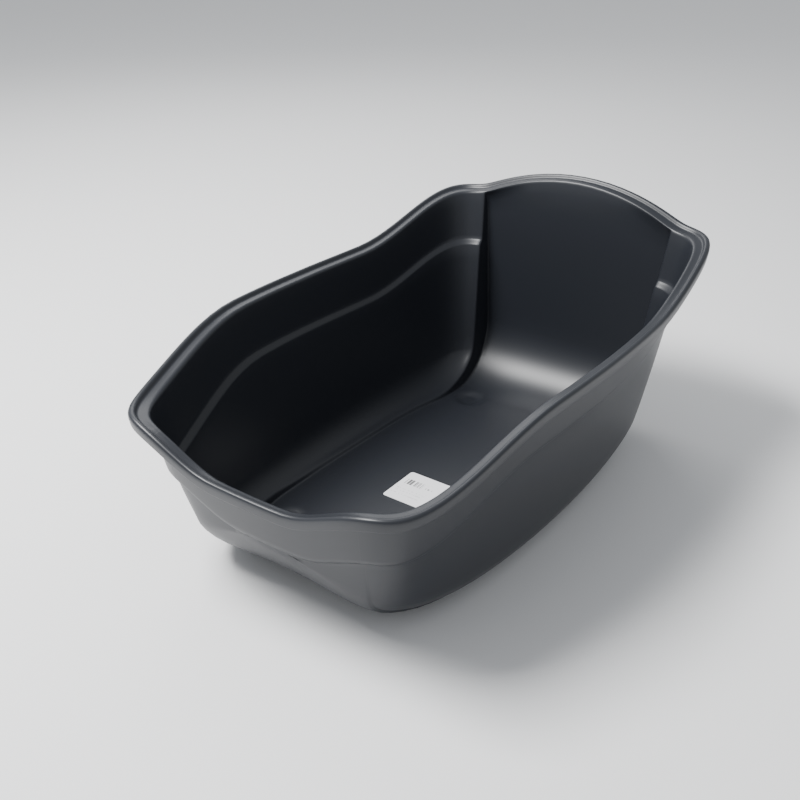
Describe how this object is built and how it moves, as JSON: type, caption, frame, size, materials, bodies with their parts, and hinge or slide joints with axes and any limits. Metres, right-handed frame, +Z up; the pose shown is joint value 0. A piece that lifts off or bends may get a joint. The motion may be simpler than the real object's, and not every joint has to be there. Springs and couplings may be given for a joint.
{
  "type": "mortar mixing tub",
  "caption": "One-piece moulded black tub with a wavy rolled rim, low pouring front, high domed back, ledged walls, recessed channel floor and moulded feet.",
  "frame": {"origin": "on the ground under the middle of the tub's bounding box", "axes": "+Z up, +Y towards the high back end, +X across the tub"},
  "size_m": [0.458, 0.7096, 0.3262],
  "materials": {
    "black_plastic": "satin black plastic, taken to be polypropylene, with no surface texture modelled",
    "paper_label": null
  },
  "bodies": {
    "root": {"tub_shell": "black_plastic", "barcode_label": "paper_label"}
  },
  "joints": []
}
